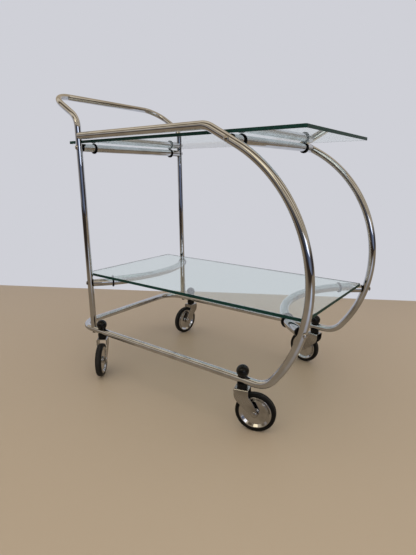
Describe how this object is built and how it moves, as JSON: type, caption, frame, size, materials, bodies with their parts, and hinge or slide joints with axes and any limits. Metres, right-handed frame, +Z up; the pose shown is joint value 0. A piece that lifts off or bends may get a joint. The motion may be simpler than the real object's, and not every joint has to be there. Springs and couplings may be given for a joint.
{
  "type": "serving trolley",
  "caption": "Serving trolley of bent chrome tube with clear glass shelves, a bowed front, a raised push handle and swivel castors with black tyres and ball nuts.",
  "frame": {"origin": "on the floor, under the middle of the box that holds the whole trolley with its castors as they stand at rest", "axes": "+X to the bowed front, -X to the push handle, +Y to the left side, +Z up"},
  "size_m": [0.8549, 0.532, 0.843],
  "materials": {
    "chrome_tube": "polished chrome plate, lightly worn",
    "chrome_fittings": "polished chrome plate",
    "chrome_castor": "bright plated sheet steel, lightly worn",
    "steel_inner": "plain turned steel",
    "clear_glass": "clear float glass with green ground edges",
    "black_rubber": "matt black rubber",
    "black_plug": "satin black moulded plastic",
    "black_ball": "glossy black moulded plastic",
    "black_tyre": "black rubber, dusty on the tread"
  },
  "bodies": {
    "frame": {"right_side_tube": "chrome_tube", "left_side_tube": "chrome_tube", "rear_joint_spigot": "steel_inner", "handle_tube": "chrome_tube", "upright_foot_plugs": "steel_inner", "upright_foot_bolts": "chrome_fittings", "upper_rear_bar": "chrome_tube", "upper_rear_bar_plugs": "black_plug", "upper_rear_bar_rings": "black_rubber", "upper_front_bar": "chrome_tube", "upper_front_bar_plugs": "black_plug", "upper_front_bar_rings": "black_rubber", "lower_rear_bow": "chrome_tube", "lower_rear_bow_plugs": "black_plug", "lower_rear_bow_rings": "black_rubber", "lower_front_bow": "chrome_tube", "lower_front_bow_plugs": "black_plug", "lower_front_bow_rings": "black_rubber", "upright_bolts": "chrome_fittings", "arc_bolts": "chrome_fittings", "top_glass_shelf": "clear_glass", "lower_glass_shelf": "clear_glass", "front_right_ball_nut": "black_ball", "front_right_saddle": "black_plug", "front_right_collar": "black_plug", "front_right_stem": "steel_inner", "rear_right_ball_nut": "black_ball", "rear_right_saddle": "black_plug", "rear_right_collar": "black_plug", "rear_right_stem": "steel_inner", "front_left_ball_nut": "black_ball", "front_left_saddle": "black_plug", "front_left_collar": "black_plug", "front_left_stem": "steel_inner", "rear_left_ball_nut": "black_ball", "rear_left_saddle": "black_plug", "rear_left_collar": "black_plug", "rear_left_stem": "steel_inner"},
    "front_right_swivel": {"front_right_fork": "chrome_castor", "front_right_axle": "chrome_castor"},
    "front_right_wheel": {"front_right_hub_bush": "steel_inner", "front_right_wheel_disc": "chrome_castor", "front_right_tyre": "black_tyre"},
    "rear_right_swivel": {"rear_right_fork": "chrome_castor", "rear_right_axle": "chrome_castor"},
    "rear_right_wheel": {"rear_right_hub_bush": "steel_inner", "rear_right_wheel_disc": "chrome_castor", "rear_right_tyre": "black_tyre"},
    "front_left_swivel": {"front_left_fork": "chrome_castor", "front_left_axle": "chrome_castor"},
    "front_left_wheel": {"front_left_hub_bush": "steel_inner", "front_left_wheel_disc": "chrome_castor", "front_left_tyre": "black_tyre"},
    "rear_left_swivel": {"rear_left_fork": "chrome_castor", "rear_left_axle": "chrome_castor"},
    "rear_left_wheel": {"rear_left_hub_bush": "steel_inner", "rear_left_wheel_disc": "chrome_castor", "rear_left_tyre": "black_tyre"}
  },
  "joints": [
    {"name": "front_right_turn", "type": "hinge", "parent": "frame", "child": "front_right_swivel", "pos_m": [0.26221, -0.19532, 0.108], "axis": [0, 0, 1], "continuous": true},
    {"name": "front_right_roll", "type": "hinge", "parent": "front_right_swivel", "child": "front_right_wheel", "pos_m": [0.29463, -0.1851, 0.05], "axis": [-0.3007, 0.9537, 0], "continuous": true},
    {"name": "rear_right_turn", "type": "hinge", "parent": "frame", "child": "rear_right_swivel", "pos_m": [-0.254, -0.19532, 0.108], "axis": [0, 0, 1], "continuous": true},
    {"name": "rear_right_roll", "type": "hinge", "parent": "rear_right_swivel", "child": "rear_right_wheel", "pos_m": [-0.23283, -0.22193, 0.05], "axis": [0.7826, 0.6225, 0], "continuous": true},
    {"name": "front_left_turn", "type": "hinge", "parent": "frame", "child": "front_left_swivel", "pos_m": [0.26221, 0.24468, 0.108], "axis": [0, 0, 1], "continuous": true},
    {"name": "front_left_roll", "type": "hinge", "parent": "front_left_swivel", "child": "front_left_wheel", "pos_m": [0.22854, 0.24941, 0.05], "axis": [-0.1392, -0.9903, 0], "continuous": true},
    {"name": "rear_left_turn", "type": "hinge", "parent": "frame", "child": "rear_left_swivel", "pos_m": [-0.254, 0.24468, 0.108], "axis": [0, 0, 1], "continuous": true},
    {"name": "rear_left_roll", "type": "hinge", "parent": "rear_left_swivel", "child": "rear_left_wheel", "pos_m": [-0.25667, 0.21079, 0.05], "axis": [0.9969, -0.0785, 0], "continuous": true}
  ]
}
